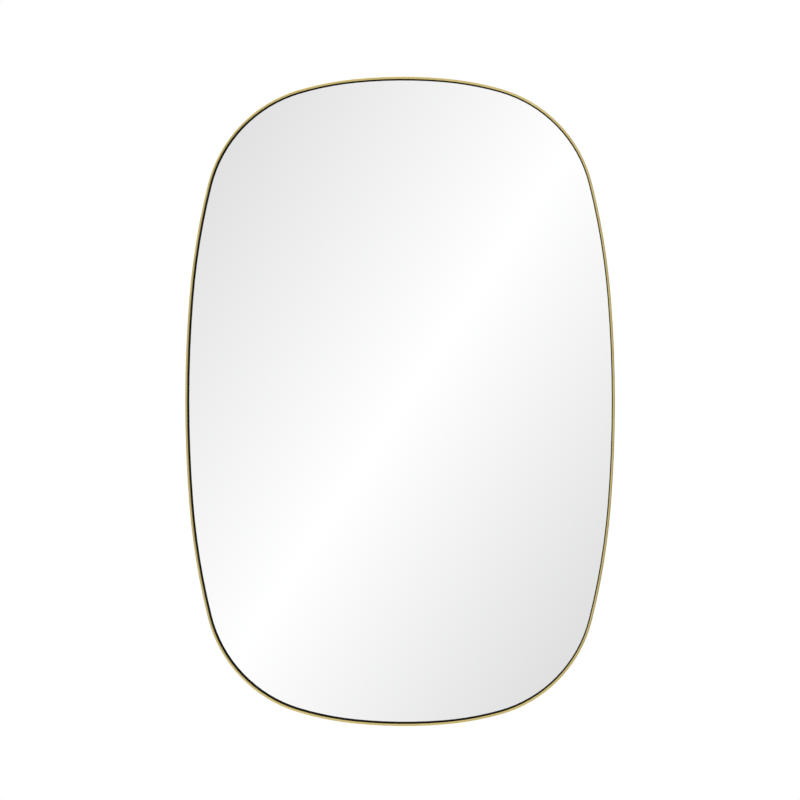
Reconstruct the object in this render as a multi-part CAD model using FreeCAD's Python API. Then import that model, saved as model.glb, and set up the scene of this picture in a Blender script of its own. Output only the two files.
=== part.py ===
# Rounded wall mirror: a thin brass-finished band, a recessed glass pane and its hanging hardware.
# Millimetres. The front faces -Y and the wall is the plane y = 0. +Z is up, and +X is to the right
# as seen from the front. The origin is the centre of the frame's back edge.
import FreeCAD, Part
import math
import os
from FreeCAD import Vector

# Frame outline: tangent arcs from the middle of a side to the middle of the top, mirrored all round.
# The corner and its two shoulders are set here. The side and crown arcs follow from the overall size.
frame_width = 610.0
frame_height = 920.0
corner_radius = 186.0
side_shoulder_radius = 990.0
crown_shoulder_radius = 432.0
side_turn_deg = 4.5
side_shoulder_turn_deg = 9.6
corner_turn_deg = 59.8
crown_shoulder_turn_deg = 10.9

# Frame band, a flat bar on edge, with its front rounded down to a narrow flat
band_thickness = 3.2
frame_depth = 32.0
band_front_flat = 0.6

# Pane, liner, tape and board, in order from the front
glass_recess = 7.0
glass_thickness = 5.0
liner_thickness = 0.7
liner_setback = 1.5
tape_thickness = 1.0
tape_width = 25.0
tape_pitch = 120.0
tape_count = 4
tape_end_gap = 140.0
board_thickness = 9.0
board_clearance = 0.8

# Screws into the board
screw_radius = 1.75
screw_tip_radius = 0.4
screw_tip_length = 2.5
screw_end_gap = 2.0
screw_head_radius = 3.5
screw_head_height = 2.2
screw_head_round = 1.2
screw_recess_width = 1.0
screw_recess_length = 4.0
screw_recess_depth = 1.2
screw_clearance = 0.25

# Retaining tabs, welded inside the band behind the board, each where the frame faces this way
tab_width = 30.0
tab_thickness = 2.0
tab_reach = 22.0
tab_setback = 1.5
tab_corner_round = 4.0
tab_bend_round = 1.5
tab_hole_inset = 13.0
tab_turns_deg = {
    "right_middle": 0.0,
    "right_high": 10.5,
    "top_right": 81.0,
    "top_left": 99.0,
    "left_high": 169.5,
    "left_middle": 180.0,
    "left_low": 190.5,
    "bottom_left": 261.0,
    "bottom_right": 279.0,
    "right_low": 349.5,
}

# Hangers: a strap curled round the straight bar of a D ring
wire_radius = 1.5
ring_inner_width = 20.0
ring_bend_radius = 4.0
ring_leg_length = 1.0
strap_thickness = 1.2
strap_width = 14.0
strap_length = 48.0
strap_end_round = 5.0
strap_hole_start = 28.0
strap_hole_pitch = 12.0
curl_gap = 0.4
pin_clearance = 0.06
ring_rest_gap = 0.35
upper_hanger_inset = 145.0
upper_hanger_drop = 160.0
side_hanger_inset = 70.0
side_hanger_drop = 260.0

# Rubber wall bumpers, one in each corner, as tall as the space behind the board
bumper_base_radius = 9.0
bumper_face_radius = 7.5
bumper_edge_round = 1.0
bumper_floor = 3.0
bumper_bore_clearance = 0.6
bumper_inset = 38.0
bumper_turns_deg = {
    "upper_right": 44.0,
    "upper_left": 136.0,
    "lower_left": 224.0,
    "lower_right": 316.0,
}

# One overrun serves all cuts
cut_overrun = 2.0

# Planes along Y, from the front of the frame to the back of the board
frame_front = -frame_depth
glass_front = frame_front + glass_recess
glass_back = glass_front + glass_thickness
board_front = glass_back + tape_thickness
board_back = board_front + board_thickness
liner_front = frame_front + liner_setback
rear_space = -board_back

half_width = frame_width / 2
half_height = frame_height / 2
band_edge_round = (band_thickness - band_front_flat) / 2
liner_inset = band_thickness + liner_thickness
board_inset = band_thickness + board_clearance

knuckle_bore = wire_radius + pin_clearance
knuckle_radius = knuckle_bore + strap_thickness
ring_half_width = ring_inner_width / 2 + wire_radius
ring_reach = ring_bend_radius + ring_leg_length + ring_half_width
ring_lean_deg = math.degrees(math.asin((ring_rest_gap - pin_clearance) / ring_reach))

TO_WALL = Vector(0, 1, 0)
TO_FRONT = Vector(0, -1, 0)
RIGHT = Vector(1, 0, 0)
DOWN = Vector(0, 0, -1)


def quarter_arcs():
    """Radius, first turn and last turn of each arc from the middle of the side to the middle of the top."""
    turns = [0.0]
    for step in (side_turn_deg, side_shoulder_turn_deg, corner_turn_deg, crown_shoulder_turn_deg):
        turns.append(turns[-1] + math.radians(step))
    turns.append(math.pi / 2)
    across = [math.cos(a) - math.cos(b) for a, b in zip(turns, turns[1:])]
    along = [math.sin(b) - math.sin(a) for a, b in zip(turns, turns[1:])]
    middle_radii = [side_shoulder_radius, corner_radius, crown_shoulder_radius]
    width_left = half_width - sum(r * share for r, share in zip(middle_radii, across[1:4]))
    height_left = half_height - sum(r * share for r, share in zip(middle_radii, along[1:4]))
    spread = across[0] * along[4] - across[4] * along[0]
    side_radius = (width_left * along[4] - across[4] * height_left) / spread
    crown_radius = (across[0] * height_left - width_left * along[0]) / spread
    radii = [side_radius, *middle_radii, crown_radius]
    return list(zip(radii, turns, turns[1:]))


QUARTER = quarter_arcs()


def outline_place(turn, inset, y):
    """The point where the outline faces this turn from +X, moved straight in from the outer edge."""
    folded = turn % (2 * math.pi)
    up = 1 if folded <= math.pi else -1
    folded = min(folded, 2 * math.pi - folded)
    right = 1 if folded <= math.pi / 2 else -1
    folded = min(folded, math.pi - folded)
    x, z = half_width, 0
    for radius, start, end in QUARTER:
        stop = min(end, folded)
        if stop > start:
            x -= radius * (math.cos(start) - math.cos(stop))
            z += radius * (math.sin(stop) - math.sin(start))
    return Vector(right * x - inset * math.cos(turn), y, up * z - inset * math.sin(turn))


def outline_wire(inset, y):
    """The closed outline, parallel to the outer edge."""
    ends = [end for radius, start, end in QUARTER[:-1]]
    turns = sorted(t for end in ends for t in (end, math.pi - end, math.pi + end, 2 * math.pi - end))
    turns.append(turns[0] + 2 * math.pi)
    places = [outline_place(turn, inset, y) for turn in turns[:-1]]
    places.append(places[0])
    edges = []
    for i in range(len(places) - 1):
        middle = outline_place((turns[i] + turns[i + 1]) / 2, inset, y)
        edges.append(Part.Arc(places[i], middle, places[i + 1]).toShape())
    return Part.Wire(edges)


def outline_slab(inset, front, back):
    """A plate with the outline's shape, between two planes along Y."""
    return Part.Face(outline_wire(inset, front)).extrude(TO_WALL * (back - front))


def block(low, high):
    """A box between two corners."""
    size = high - low
    return Part.makeBox(size.x, size.y, size.z, low)


def set_at(shape, place, turn_deg=0.0):
    """A copy, turned anticlockwise as seen from the front and moved from the origin to its place."""
    copy = shape.copy()
    copy.rotate(Vector(), TO_FRONT, turn_deg)
    copy.translate(place)
    return copy


def edges_along(shape, direction):
    """The straight edges that run along this direction."""
    found = []
    for edge in shape.Edges:
        if isinstance(edge.Curve, Part.Line):
            if edge.tangentAt(edge.FirstParameter).cross(direction).Length < Part.Precision.angular():
                found.append(edge)
    return found


def frame_band():
    """Flat bar bent to the outline, with its two front edges rounded."""
    inside = outline_slab(band_thickness, frame_front - cut_overrun, cut_overrun)
    band = outline_slab(0, frame_front, 0).cut(inside)
    front_face = min(band.Faces, key=lambda face: face.CenterOfMass.y)
    return band.makeFillet(band_edge_round, front_face.Edges)


def edge_liner():
    """Black strip that lines the band in front of the glass and cushions the pane's edge."""
    inside = outline_slab(liner_inset, liner_front - cut_overrun, glass_back + cut_overrun)
    return outline_slab(band_thickness, liner_front, glass_back).cut(inside)


def tape_strip(index):
    """One upright strip of double-sided tape between the pane and the board."""
    x = (index - (tape_count - 1) / 2) * tape_pitch
    z = half_height - tape_end_gap
    low = Vector(x - tape_width / 2, glass_back, -z)
    high = Vector(x + tape_width / 2, board_front, z)
    return block(low, high)


def screw_hole(place, depth):
    """Clearance hole for a screw, from its seat towards the front."""
    start = place + TO_WALL * cut_overrun
    return Part.makeCylinder(screw_radius + screw_clearance, depth + 2 * cut_overrun, start, TO_FRONT)


def wood_screw(grip):
    """Pan-head screw with its seat at the origin, long enough for what it clamps and its bite."""
    length = grip + board_thickness - screw_end_gap
    head = Part.makeCylinder(screw_head_radius, screw_head_height, Vector(), TO_WALL)
    rim = max(head.Edges, key=lambda edge: edge.CenterOfMass.y)
    head = head.makeFillet(screw_head_round, [rim])
    shank = Part.makeCylinder(screw_radius, length - screw_tip_length, Vector(), TO_FRONT)
    tip_start = TO_FRONT * (length - screw_tip_length)
    tip = Part.makeCone(screw_radius, screw_tip_radius, screw_tip_length, tip_start, TO_FRONT)
    screw = head.fuse([shank, tip]).removeSplitter()
    recess_floor = screw_head_height - screw_recess_depth
    recess_top = screw_head_height + cut_overrun
    reach, half = screw_recess_length / 2, screw_recess_width / 2
    level = block(Vector(-reach, recess_floor, -half), Vector(reach, recess_top, half))
    upright = block(Vector(-half, recess_floor, -reach), Vector(half, recess_top, reach))
    return screw.cut([level, upright])


def tab_place(turn_deg):
    """Where a tab meets the inside of the band, on the back of the board."""
    return outline_place(math.radians(turn_deg), band_thickness, board_back)


def retaining_tab(turn_deg):
    """Bent plate: one leg follows the inside of the band, and the other holds the board."""
    half = tab_width / 2
    depth = rear_space - tab_setback
    wall_leg = block(Vector(-tab_thickness, 0, -half), Vector(cut_overrun, depth, half))
    board_leg = block(Vector(-tab_reach, 0, -half), Vector(cut_overrun, tab_thickness, half))
    corners = [edge for edge in edges_along(board_leg, TO_WALL) if edge.CenterOfMass.x < 0]
    board_leg = board_leg.makeFillet(tab_corner_round, corners)
    tab = wall_leg.fuse(board_leg).removeSplitter()
    bend = [
        edge
        for edge in edges_along(tab, DOWN)
        if (edge.CenterOfMass - Vector(-tab_thickness, tab_thickness, 0)).Length < tab_thickness / 2
    ]
    tab = tab.makeFillet(tab_bend_round, bend)
    tab = tab.cut(screw_hole(Vector(-tab_hole_inset, tab_thickness, 0), tab_thickness))
    room = outline_slab(band_thickness, board_back, cut_overrun)
    return set_at(tab, tab_place(turn_deg), turn_deg).common(room)


def tab_screw(turn_deg):
    """The screw through one tab."""
    screw = set_at(wood_screw(tab_thickness), Vector(-tab_hole_inset, tab_thickness, 0))
    return set_at(screw, tab_place(turn_deg), turn_deg)


def hangers():
    """Name, place on the board and turn of each hanger: two hold it upright and two sideways."""
    upper_x = half_width - upper_hanger_inset
    upper_z = half_height - upper_hanger_drop
    side_x = half_width - side_hanger_inset
    side_z = half_height - side_hanger_drop
    return {
        "upper_left": (Vector(-upper_x, board_back, upper_z), 0.0),
        "upper_right": (Vector(upper_x, board_back, upper_z), 0.0),
        "side_high": (Vector(-side_x, board_back, side_z), 90.0),
        "side_low": (Vector(-side_x, board_back, -side_z), 90.0),
    }


def strap_seats():
    """Where the two screws of a hanger sit on its strap, below the ring's bar."""
    depths = (strap_hole_start, strap_hole_start + strap_hole_pitch)
    return [DOWN * depth + TO_WALL * strap_thickness for depth in depths]


def hanger_strap():
    """Strap below the ring's bar, lying on the board, with its upper end curled round the bar."""
    half = strap_width / 2
    plate = block(Vector(-half, 0, -strap_length), Vector(half, strap_thickness, 0))
    corners = [edge for edge in edges_along(plate, TO_WALL) if edge.CenterOfMass.z < 0]
    plate = plate.makeFillet(strap_end_round, corners)
    pivot = Vector(-half, knuckle_radius, 0)
    knuckle = Part.makeCylinder(knuckle_radius, strap_width, pivot, RIGHT)
    bore_start = pivot - RIGHT * cut_overrun
    bore = Part.makeCylinder(knuckle_bore, strap_width + 2 * cut_overrun, bore_start, RIGHT)
    curl_low = Vector(-half - cut_overrun, strap_thickness, -knuckle_radius - cut_overrun)
    curl_high = Vector(half + cut_overrun, strap_thickness + curl_gap, 0)
    strap = plate.fuse(knuckle).cut([bore, block(curl_low, curl_high)]).removeSplitter()
    return strap.cut([screw_hole(seat, strap_thickness) for seat in strap_seats()])


def d_ring():
    """Wire ring round the strap's curl: a straight bar, two bends, two short legs and a half circle."""
    half_bar = ring_half_width - ring_bend_radius
    leg_end = ring_bend_radius + ring_leg_length
    bend_out = half_bar + ring_bend_radius * math.sin(math.pi / 4)
    bend_drop = ring_bend_radius * (1 - math.cos(math.pi / 4))
    bar_left, bar_right = Vector(-half_bar, 0, 0), Vector(half_bar, 0, 0)
    bend_left, bend_right = Vector(-bend_out, 0, -bend_drop), Vector(bend_out, 0, -bend_drop)
    leg_left, leg_right = [Vector(side * ring_half_width, 0, -ring_bend_radius) for side in (-1, 1)]
    foot_left, foot_right = [Vector(side * ring_half_width, 0, -leg_end) for side in (-1, 1)]
    path = [
        Part.makeLine(bar_left, bar_right),
        Part.Arc(bar_right, bend_right, leg_right).toShape(),
        Part.makeLine(leg_right, foot_right),
        Part.Arc(foot_right, Vector(0, 0, -ring_reach), foot_left).toShape(),
        Part.makeLine(foot_left, leg_left),
        Part.Arc(leg_left, bend_left, bar_left).toShape(),
    ]
    section = Part.Wire([Part.makeCircle(wire_radius, bar_left, RIGHT)])
    ring = Part.Wire(path).makePipeShell([section], True, True)
    ring.rotate(Vector(), RIGHT, ring_lean_deg)
    ring.translate(TO_WALL * knuckle_radius)
    return ring


def bumper():
    """Tapered rubber bumper on the back of the board, with a deep seat for its screw."""
    body = Part.makeCone(bumper_base_radius, bumper_face_radius, rear_space, Vector(), TO_WALL)
    rim = max(body.Edges, key=lambda edge: edge.CenterOfMass.y)
    body = body.makeFillet(bumper_edge_round, [rim])
    seat = TO_WALL * bumper_floor
    well_radius = screw_head_radius + bumper_bore_clearance
    well = Part.makeCylinder(well_radius, rear_space - bumper_floor + cut_overrun, seat, TO_WALL)
    return body.cut([well, screw_hole(seat, bumper_floor)])


def bumper_place(turn_deg):
    """Where a bumper stands on the board."""
    return outline_place(math.radians(turn_deg), bumper_inset, board_back)


def backing_board(screws):
    """Board that carries the pane, drilled by its own screws."""
    return outline_slab(board_inset, board_front, board_back).cut(screws)


def build():
    """Every piece, by node name."""
    nodes = {"frame_band": frame_band(), "edge_liner": edge_liner()}
    nodes["mirror_pane"] = outline_slab(liner_inset, glass_front, glass_back)
    for index in range(tape_count):
        nodes[f"tape_strip_{index + 1}"] = tape_strip(index)

    tab_screws = []
    for name, turn_deg in tab_turns_deg.items():
        nodes[f"retaining_tab_{name}"] = retaining_tab(turn_deg)
        tab_screws.append(tab_screw(turn_deg))

    hanger_screws = []
    for name, (place, turn_deg) in hangers().items():
        nodes[f"hanger_strap_{name}"] = set_at(hanger_strap(), place, turn_deg)
        nodes[f"d_ring_{name}"] = set_at(d_ring(), place, turn_deg)
        for seat in strap_seats():
            hanger_screws.append(set_at(set_at(wood_screw(strap_thickness), seat), place, turn_deg))

    bumper_screws = []
    for name, turn_deg in bumper_turns_deg.items():
        place = bumper_place(turn_deg)
        nodes[f"wall_bumper_{name}"] = set_at(bumper(), place)
        bumper_screws.append(set_at(wood_screw(bumper_floor), place + TO_WALL * bumper_floor))

    nodes["backing_board"] = backing_board(tab_screws + hanger_screws + bumper_screws)
    nodes["tab_screws"] = Part.makeCompound(tab_screws)
    nodes["hanger_screws"] = Part.makeCompound(hanger_screws)
    nodes["bumper_screws"] = Part.makeCompound(bumper_screws)
    return nodes


os.makedirs("parts", exist_ok=True)
for node, shape in build().items():
    shape.exportStep(f"parts/{node}.step")
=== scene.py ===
import math

import bpy
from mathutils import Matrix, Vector


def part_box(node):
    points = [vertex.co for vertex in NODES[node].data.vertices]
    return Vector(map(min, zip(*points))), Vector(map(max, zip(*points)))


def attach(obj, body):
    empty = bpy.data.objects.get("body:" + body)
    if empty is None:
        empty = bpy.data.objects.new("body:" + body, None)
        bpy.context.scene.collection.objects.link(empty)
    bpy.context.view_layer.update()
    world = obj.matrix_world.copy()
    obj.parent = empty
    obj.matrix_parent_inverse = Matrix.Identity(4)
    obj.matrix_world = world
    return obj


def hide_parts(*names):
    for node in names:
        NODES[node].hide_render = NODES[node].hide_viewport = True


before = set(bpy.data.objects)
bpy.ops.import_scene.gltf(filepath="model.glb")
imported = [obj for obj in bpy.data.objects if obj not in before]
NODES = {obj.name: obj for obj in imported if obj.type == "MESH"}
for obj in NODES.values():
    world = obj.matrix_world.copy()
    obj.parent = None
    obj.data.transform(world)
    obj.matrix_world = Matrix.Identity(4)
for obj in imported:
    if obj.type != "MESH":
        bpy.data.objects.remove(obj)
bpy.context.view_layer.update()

# Rounded wall mirror in a thin brass band.
# Metres, in the CAD frame: the front faces -Y, the wall is y = 0, and +X is to the right from the front.
BAND_LOW, BAND_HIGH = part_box("frame_band")
PANE_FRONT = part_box("mirror_pane")[0].y

# The photograph's frame: its side in pixels and where the mirror's edges lie in it
PHOTO_SIDE = 800
PHOTO_LEFT = 185.05
PHOTO_RIGHT = 615.05
PHOTO_TOP = 76.62
PHOTO_BOTTOM = 726.2

# Camera: a little right of and above the middle, and turned towards the mirror.
# A new camera looks down, and a quarter turn makes it level. The sensor is in millimetres.
CAMERA_DISTANCE = 2.6
CAMERA_RIGHT = 0.165
CAMERA_ABOVE = 0.09
CAMERA_TURN_DEG = 3.3
CAMERA_REACH = 50.0
QUARTER_TURN = math.pi / 2
SENSOR_WIDTH = 36.0

# Studio gradient that the glass reflects: a white ridge along a diagonal, falling off to both sides.
# The falls are in levels per metre of glass.
RIDGE_TURN_DEG = 33.2
RIDGE_OFFSET = 0.008
RIDGE_LEVEL = 1.0
FALL_UPPER_LEFT = 0.60
FALL_LOWER_RIGHT = 0.66
FALL_LEAST = 0.52
LEAST_AHEAD = 0.02
PANE_REFLECTANCE = 0.93

# Away from the front the studio is lighter up and to the left, and darker down and to the right
LIT_UP = 0.8
LIT_LEFT = 0.45
LIT_START = 0.30
LIT_FULL = 0.9
LIT_LEVEL = 0.45
DARK_RIGHT = 0.8
DARK_DOWN = 0.5
DARK_START = 0.30
DARK_FULL = 0.8
DARK_LEVEL = 0.24

# What metal reflects of the room behind the wall plane: lighter upwards, and a little to the left
ROOM_FULL = 0.3
ROOM_LEFT = 0.25
ROOM_LOW = -0.6
ROOM_HIGH = 0.7
ROOM_DARK = 0.42
ROOM_LIGHT = 0.90

# Light on the object: an even level from all round, and two soft lamps, in metres and watts
EVEN_LEVEL = 0.62
KEY_LAMP_PLACE = (-1.7, -2.2, 1.9)
KEY_LAMP_WIDTH = 1.6
KEY_LAMP_WATTS = 42.0
BACK_LAMP_PLACE = (-1.5, 2.5, 1.8)
BACK_LAMP_WIDTH = 4.2
BACK_LAMP_WATTS = 36.0

# Floor, below the mirror
FLOOR_DROP = 0.90
FLOOR_RADIUS = 2.8
FLOOR_SIDES = 128
FLOOR_FADE_START = 1.0
FLOOR_WHITENESS = 0.5

# Corners of the band's mesh that agree to this many decimals of a metre are one corner
WELD_DIGITS = 6


class Wire:
    """An output socket whose arithmetic adds Math nodes to its tree."""

    def __init__(self, tree, socket):
        self.tree = tree
        self.socket = socket

    def __add__(self, other):
        return self.tree.math("ADD", self, other)

    __radd__ = __add__

    def __sub__(self, other):
        return self.tree.math("SUBTRACT", self, other)

    def __rsub__(self, other):
        return self.tree.math("SUBTRACT", other, self)

    def __mul__(self, other):
        return self.tree.math("MULTIPLY", self, other)

    __rmul__ = __mul__

    def __truediv__(self, other):
        return self.tree.math("DIVIDE", self, other)

    def __rtruediv__(self, other):
        return self.tree.math("DIVIDE", other, self)

    def __neg__(self):
        return self.tree.math("MULTIPLY", self, -1.0)

    def at_least(self, other):
        return self.tree.math("MAXIMUM", self, other)

    def at_most(self, other):
        return self.tree.math("MINIMUM", self, other)


class Tree:
    """The node tree of a material or of the world."""

    def __init__(self, owner):
        owner.use_nodes = True
        self.nodes = owner.node_tree.nodes
        self.links = owner.node_tree.links
        self.nodes.clear()

    def node(self, kind, settings=None, sockets=None, out=0):
        """One node: its settings come first, then the values or links of its sockets."""
        new = self.nodes.new(kind)
        for name, value in (settings or {}).items():
            setattr(new, name, value)
        for name, value in (sockets or {}).items():
            if isinstance(value, Wire):
                self.links.new(value.socket, new.inputs[name])
            else:
                new.inputs[name].default_value = value
        return Wire(self, new.outputs[out]) if len(new.outputs) else new

    def math(self, operation, *values):
        return self.node("ShaderNodeMath", {"operation": operation}, dict(enumerate(values)))

    def place(self):
        """Where a point is, in metres: in the CAD frame, or for the floor from its middle."""
        return self.node("ShaderNodeTexCoord", out="Object")

    def ray(self, kind):
        """Whether a ray is of this kind."""
        return self.node("ShaderNodeLightPath", out=kind)

    def axes(self, vector):
        parts = self.node("ShaderNodeSeparateXYZ", sockets={"Vector": vector})
        return [Wire(self, socket) for socket in parts.socket.node.outputs]

    def vector(self, x, y, z):
        return self.node("ShaderNodeCombineXYZ", sockets={"X": x, "Y": y, "Z": z})

    def noise(self, where, scale, detail, roughness=0.5):
        sockets = {"Vector": where, "Scale": scale, "Detail": detail, "Roughness": roughness}
        return self.node("ShaderNodeTexNoise", sockets=sockets, out="Fac")

    def spread(self, value, low, high, new_low=0.0, new_high=1.0):
        """Maps a value from one range to another, held at the ends."""
        ends = {"From Min": low, "From Max": high, "To Min": new_low, "To Max": new_high}
        return self.node("ShaderNodeMapRange", sockets={"Value": value, **ends})

    def blend(self, factor, first, second):
        """Mixes two colours. Their sockets share names with others, so they go by number."""
        sockets = {0: factor, 6: first, 7: second}
        return self.node("ShaderNodeMix", {"data_type": "RGBA"}, sockets, out=2)

    def mix(self, factor, first, second):
        """Mixes two shaders."""
        return self.node("ShaderNodeMixShader", sockets={0: factor, 1: first, 2: second})

    def bump(self, height, distance, strength=1.0):
        sockets = {"Height": height, "Distance": distance, "Strength": strength}
        return self.node("ShaderNodeBump", sockets=sockets)

    def surface(self, sockets):
        shader = self.node("ShaderNodeBsdfPrincipled", sockets=sockets)
        self.node("ShaderNodeOutputMaterial", sockets={"Surface": shader})


def rgb(red, green, blue):
    return (red, green, blue, 1.0)


WHITE = rgb(1.0, 1.0, 1.0)


def new_finish(name):
    material = bpy.data.materials.new(name)
    return material, Tree(material)


def satin_brass(name, light, dark, least_roughness):
    """Brass plating, brushed along the outline and faintly clouded."""
    strokes_per_radian = 12.0
    strokes_per_metre = 1500.0
    stroke_depth = 0.00002
    stroke_roughness = 0.10
    stroke_share = 0.4
    clouds_per_metre = 22.0
    cloud_roughness = 0.06
    cloud_share = 0.6
    contrast = (0.34, 0.66)
    material, tree = new_finish(name)
    place = tree.place()
    x, y, z = tree.axes(place)
    around = tree.math("ARCTAN2", z, x)
    brushed_along = tree.vector(around * strokes_per_radian, y * strokes_per_metre, 0.0)
    strokes = tree.noise(brushed_along, 1.0, detail=4.0, roughness=0.6)
    clouds = tree.noise(place, clouds_per_metre, detail=3.0)
    tone = tree.spread(clouds * cloud_share + strokes * stroke_share, *contrast)
    tree.surface({
        "Base Color": tree.blend(tone, dark, light),
        "Metallic": 1.0,
        "Roughness": least_roughness + strokes * stroke_roughness + clouds * cloud_roughness,
        "Normal": tree.bump(strokes, stroke_depth),
    })
    return material


def black_tape_and_painted_reflection():
    """Matt black tape that lines the band in front of the glass. Its black is partly a painted reflection:
    it stands for the dark surroundings that the band's brass inner wall mirrors.
    """
    black = rgb(0.003, 0.003, 0.003)
    worn = rgb(0.009, 0.008, 0.006)
    grains_per_metre = 1500.0
    grain_depth = 0.00003
    grain_roughness = 0.2
    least_roughness = 0.62
    material, tree = new_finish("black_tape_and_painted_reflection")
    grain = tree.noise(tree.place(), grains_per_metre, detail=3.0)
    tree.surface({
        "Base Color": tree.blend(grain, black, worn),
        "Roughness": least_roughness + grain * grain_roughness,
        "Specular IOR Level": 0.02,
        "Normal": tree.bump(grain, grain_depth),
    })
    return material


def silvered_glass():
    """Clear float glass with silver behind it, under a thin uneven film."""
    clean_cast = (0.0, 0.004, 0.0)
    hazed_cast = (-0.006, 0.002, 0.0)
    films_per_metre = 6.0
    film_roughness = 0.006
    clean = rgb(*[PANE_REFLECTANCE + part for part in clean_cast])
    hazed = rgb(*[PANE_REFLECTANCE + part for part in hazed_cast])
    material, tree = new_finish("silvered_glass")
    film = tree.noise(tree.place(), films_per_metre, detail=3.0)
    tree.surface({
        "Base Color": tree.blend(film, hazed, clean),
        "Metallic": 1.0,
        "Roughness": film * film_roughness,
    })
    return material


def fibreboard():
    """Medium-density fibreboard: pale brown, speckled with short fibres that lie both ways."""
    shaded = rgb(0.275, 0.180, 0.104)
    pale = rgb(0.385, 0.262, 0.158)
    fibre_brown = rgb(0.170, 0.100, 0.052)
    along_per_metre = 170.0
    across_per_metre = 620.0
    through_per_metre = 420.0
    clouds_per_metre = 7.0
    speckle_contrast = (0.50, 0.74)
    speckle_depth = 0.00012
    fibre_roughness = 0.15
    least_roughness = 0.78
    material, tree = new_finish("fibreboard")
    place = tree.place()
    x, y, z = tree.axes(place)
    through = y * through_per_metre
    lying = tree.vector(x * along_per_metre, through, z * across_per_metre)
    standing = tree.vector(x * across_per_metre, through, z * along_per_metre)
    fibres = tree.noise(lying, 1.0, detail=6.0, roughness=0.7)
    crossed = tree.noise(standing, 1.0, detail=6.0, roughness=0.7)
    clouds = tree.noise(place, clouds_per_metre, detail=5.0, roughness=0.6)
    speckle = fibres.at_least(crossed)
    tone = tree.spread(speckle, *speckle_contrast)
    ground = tree.blend(clouds, shaded, pale)
    tree.surface({
        "Base Color": tree.blend(tone, ground, fibre_brown),
        "Roughness": least_roughness + fibres * fibre_roughness,
        "Specular IOR Level": 0.25,
        "Normal": tree.bump(speckle, speckle_depth, strength=0.5),
    })
    return material


def zinc_plate():
    """Bright zinc plating, slightly uneven."""
    cool = rgb(0.50, 0.51, 0.53)
    warm = rgb(0.68, 0.67, 0.64)
    clouds_per_metre = 260.0
    cloud_contrast = (0.35, 0.65)
    scuffs_per_metre = 1900.0
    scuff_depth = 0.00002
    scuff_roughness = 0.24
    least_roughness = 0.20
    material, tree = new_finish("zinc_plate")
    place = tree.place()
    clouds = tree.noise(place, clouds_per_metre, detail=3.0)
    scuffs = tree.noise(place, scuffs_per_metre, detail=4.0, roughness=0.7)
    tone = tree.spread(clouds, *cloud_contrast)
    tree.surface({
        "Base Color": tree.blend(tone, cool, warm),
        "Metallic": 1.0,
        "Roughness": least_roughness + scuffs * scuff_roughness,
        "Normal": tree.bump(scuffs, scuff_depth),
    })
    return material


def bumper_rubber():
    """Dark moulded rubber with a fine grain."""
    black = rgb(0.018, 0.018, 0.019)
    greyed = rgb(0.034, 0.034, 0.035)
    grains_per_metre = 1600.0
    grain_depth = 0.00005
    grain_roughness = 0.25
    least_roughness = 0.55
    material, tree = new_finish("bumper_rubber")
    grain = tree.noise(tree.place(), grains_per_metre, detail=3.0)
    tree.surface({
        "Base Color": tree.blend(grain, black, greyed),
        "Roughness": least_roughness + grain * grain_roughness,
        "Specular IOR Level": 0.35,
        "Normal": tree.bump(grain, grain_depth),
    })
    return material


def foam_tape():
    """White double-sided foam tape."""
    shaded = rgb(0.66, 0.66, 0.64)
    white = rgb(0.80, 0.80, 0.78)
    pores_per_metre = 1200.0
    pore_depth = 0.0001
    pore_roughness = 0.1
    least_roughness = 0.8
    material, tree = new_finish("foam_tape")
    pores = tree.noise(tree.place(), pores_per_metre, detail=3.0)
    tree.surface({
        "Base Color": tree.blend(pores, shaded, white),
        "Roughness": least_roughness + pores * pore_roughness,
        "Normal": tree.bump(pores, pore_depth),
    })
    return material


def smooth_band(finish):
    """The band's own faces, shaded alike all along its bends, so no line shows where two bends meet."""
    packed = NODES["frame_band"].data
    spots = {}
    faces = []
    for face in packed.polygons:
        corners = [packed.vertices[i].co.to_tuple(WELD_DIGITS) + (face.use_smooth,) for i in face.vertices]
        faces.append([spots.setdefault(corner, len(spots)) for corner in corners])
    mesh = bpy.data.meshes.new("brass_band")
    mesh.from_pydata([spot[:3] for spot in spots], [], faces)
    mesh.polygons.foreach_set("use_smooth", [face.use_smooth for face in packed.polygons])
    outward = [Vector() for spot in spots]
    for face in mesh.polygons:
        for i in face.vertices:
            outward[i] += face.normal * face.area
    mesh.normals_split_custom_set_from_vertices([way.normalized() for way in outward])
    mesh.materials.append(finish)
    band = bpy.data.objects.new("brass_band", mesh)
    bpy.context.scene.collection.objects.link(band)
    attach(band, "mirror")
    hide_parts("frame_band")


def dress_nodes():
    """Gives every CAD node its finish, by how its name starts. What isn't listed is zinc-plated steel."""
    bright = rgb(0.78, 0.635, 0.258)
    bright_shade = rgb(0.68, 0.545, 0.208)
    dull = rgb(0.66, 0.53, 0.24)
    dull_shade = rgb(0.54, 0.42, 0.18)
    band = satin_brass("satin_brass", bright, bright_shade, least_roughness=0.18)
    smooth_band(band)
    tabs = satin_brass("dull_brass", dull, dull_shade, least_roughness=0.32)
    finishes = {
        "frame_band": band,
        "retaining_tab": tabs,
        # the edge liner's black is partly a painted reflection of the band's inner wall
        "edge_liner": black_tape_and_painted_reflection(),
        "mirror_pane": silvered_glass(),
        "backing_board": fibreboard(),
        "wall_bumper": bumper_rubber(),
        "tape_strip": foam_tape(),
    }
    steel = zinc_plate()
    for name, node in NODES.items():
        finish = next((finishes[start] for start in finishes if name.startswith(start)), steel)
        node.material_slots[0].material = finish


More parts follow.
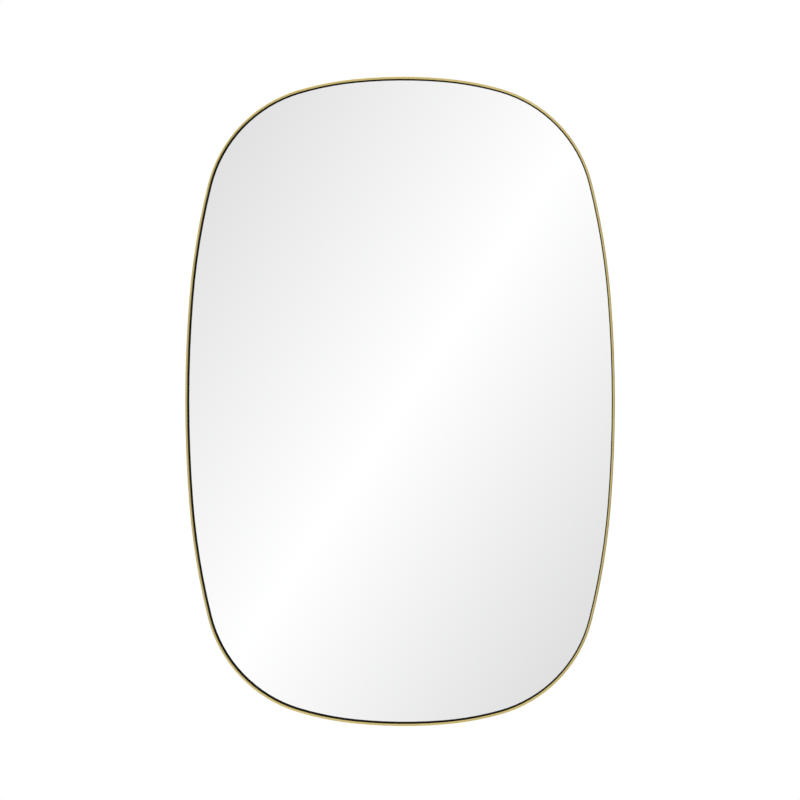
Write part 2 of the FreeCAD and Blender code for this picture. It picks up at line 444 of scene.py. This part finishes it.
def studio_world(camera_place):
    """White to the camera, an even light on the object, and the soft gradient that the glass reflects."""
    world = bpy.data.worlds.new("studio")
    bpy.context.scene.world = world
    tree = Tree(world)
    x, y, z = tree.axes(tree.node("ShaderNodeTexCoord", out="Generated"))
    ahead = (-y).at_least(LEAST_AHEAD)
    to_glass = PANE_FRONT - camera_place.y
    on_glass_x = x / ahead * to_glass + camera_place.x
    on_glass_z = z / ahead * to_glass + camera_place.z
    turn = math.radians(RIDGE_TURN_DEG)
    from_ridge = on_glass_x * math.cos(turn) - on_glass_z * math.sin(turn) - RIDGE_OFFSET
    fall = (-from_ridge * FALL_UPPER_LEFT).at_least(from_ridge * FALL_LOWER_RIGHT)
    front = (RIDGE_LEVEL - fall).at_least(FALL_LEAST)
    lit_side = tree.spread(z * LIT_UP - x * LIT_LEFT, LIT_START, LIT_FULL, 0.0, LIT_LEVEL)
    dark_side = tree.spread(x * DARK_RIGHT - z * DARK_DOWN, DARK_START, DARK_FULL, 0.0, DARK_LEVEL)
    ahead_of_wall = (front + lit_side - dark_side) / PANE_REFLECTANCE
    behind_wall = tree.spread(z - x * ROOM_LEFT, ROOM_LOW, ROOM_HIGH, ROOM_DARK, ROOM_LIGHT)
    behind = tree.spread(y, 0.0, ROOM_FULL)
    reflected = ahead_of_wall * (1.0 - behind) + behind_wall * behind
    seen = tree.ray("Is Camera Ray") + tree.ray("Is Transmission Ray")
    level = EVEN_LEVEL + seen.at_most(1.0) * (1.0 - EVEN_LEVEL)
    level = level + tree.ray("Is Glossy Ray") * (reflected - EVEN_LEVEL)
    sky = tree.node("ShaderNodeBackground", sockets={"Color": WHITE, "Strength": level})
    tree.node("ShaderNodeOutputWorld", sockets={"Surface": sky})


def soft_lamp(name, place, width, watts, mirrored):
    """A large soft lamp aimed at the mirror's middle. Metal and glass show it only where it is mirrored."""
    lamp = bpy.data.lights.new(name, "AREA")
    lamp.shape = "DISK"
    lamp.size = width
    lamp.energy = watts
    holder = bpy.data.objects.new(name, lamp)
    bpy.context.scene.collection.objects.link(holder)
    holder.location = place
    holder.rotation_euler = (-Vector(place)).to_track_quat("-Z", "Y").to_euler()
    holder.visible_camera = False
    holder.visible_glossy = mirrored


def studio_lamps():
    soft_lamp("key_lamp", KEY_LAMP_PLACE, KEY_LAMP_WIDTH, KEY_LAMP_WATTS, mirrored=False)
    soft_lamp("back_lamp", BACK_LAMP_PLACE, BACK_LAMP_WIDTH, BACK_LAMP_WATTS, mirrored=True)


def floor_finish():
    """Pale matt floor, whitened where it is seen or mirrored, that fades out towards its rim."""
    shaded = rgb(0.80, 0.80, 0.80)
    pale = rgb(0.82, 0.82, 0.82)
    mottles_per_metre = 3.0
    material, tree = new_finish("pale_floor")
    place = tree.place()
    mottle = tree.noise(place, mottles_per_metre, detail=3.0)
    matt = tree.node("ShaderNodeBsdfPrincipled", sockets={
        "Base Color": tree.blend(mottle, shaded, pale),
        "Roughness": 1.0,
        "Specular IOR Level": 0.0,
    })
    white = tree.node("ShaderNodeEmission", sockets={"Color": WHITE, "Strength": 1.0})
    seen = tree.ray("Is Camera Ray") + tree.ray("Is Glossy Ray") + tree.ray("Is Transmission Ray")
    paled = tree.mix(seen.at_most(1.0) * FLOOR_WHITENESS, matt, white)
    x, y, _ = tree.axes(place)
    from_middle = tree.math("SQRT", x * x + y * y)
    faded = tree.spread(from_middle, FLOOR_FADE_START, FLOOR_RADIUS)
    clear = tree.node("ShaderNodeBsdfTransparent")
    tree.node("ShaderNodeOutputMaterial", sockets={"Surface": tree.mix(faded, paled, clear)})
    return material


def pale_floor():
    """Round floor well below the mirror, which keeps its soft shadow."""
    under_mirror = (0, 0, BAND_LOW.z - FLOOR_DROP)
    finish = floor_finish()
    bpy.ops.mesh.primitive_circle_add(
        vertices=FLOOR_SIDES, radius=FLOOR_RADIUS, fill_type="NGON", location=under_mirror
    )
    floor = bpy.context.object
    floor.name = "floor"
    floor.data.materials.append(finish)


def photo_camera():
    """Level camera, with its lens and shift set so the mirror's edges lie where the photograph has them."""
    camera = bpy.data.cameras.new("photo_camera")
    holder = bpy.data.objects.new("photo_camera", camera)
    bpy.context.scene.collection.objects.link(holder)
    place = Vector((CAMERA_RIGHT, BAND_LOW.y - CAMERA_DISTANCE, CAMERA_ABOVE))
    turn = math.radians(CAMERA_TURN_DEG)
    holder.location = place
    holder.rotation_euler = (QUARTER_TURN, 0, turn)
    across = Vector((math.cos(turn), math.sin(turn), 0))
    ahead = Vector((-math.sin(turn), math.cos(turn), 0))
    upright = Vector((0, 0, 1))

    def slope(x, z, axis):
        """How far a point of the front plane lies off the lens axis, over its distance."""
        away = Vector((x, BAND_LOW.y, z)) - place
        return away.dot(axis) / away.dot(ahead)

    middle = (BAND_LOW + BAND_HIGH) / 2
    left, right = [slope(x, middle.z, across) for x in (BAND_LOW.x, BAND_HIGH.x)]
    bottom, top = [slope(middle.x, z, upright) for z in (BAND_LOW.z, BAND_HIGH.z)]
    photo_span = (PHOTO_RIGHT - PHOTO_LEFT + PHOTO_BOTTOM - PHOTO_TOP) / PHOTO_SIDE
    zoom = photo_span / (right - left + top - bottom)
    # The mirror's middle in the photograph, from the frame's middle, as a share of the frame's side
    photo_x = (PHOTO_LEFT + PHOTO_RIGHT) / 2 / PHOTO_SIDE - 0.5
    photo_z = 0.5 - (PHOTO_TOP + PHOTO_BOTTOM) / 2 / PHOTO_SIDE
    camera.sensor_width = SENSOR_WIDTH
    camera.lens = SENSOR_WIDTH * zoom
    camera.shift_x = (left + right) / 2 * zoom - photo_x
    camera.shift_y = (bottom + top) / 2 * zoom - photo_z
    camera.clip_end = CAMERA_REACH
    bpy.context.scene.camera = holder
    return place


dress_nodes()
camera_place = photo_camera()
studio_world(camera_place)
studio_lamps()
pale_floor()
bpy.context.scene.view_settings.view_transform = "Standard"
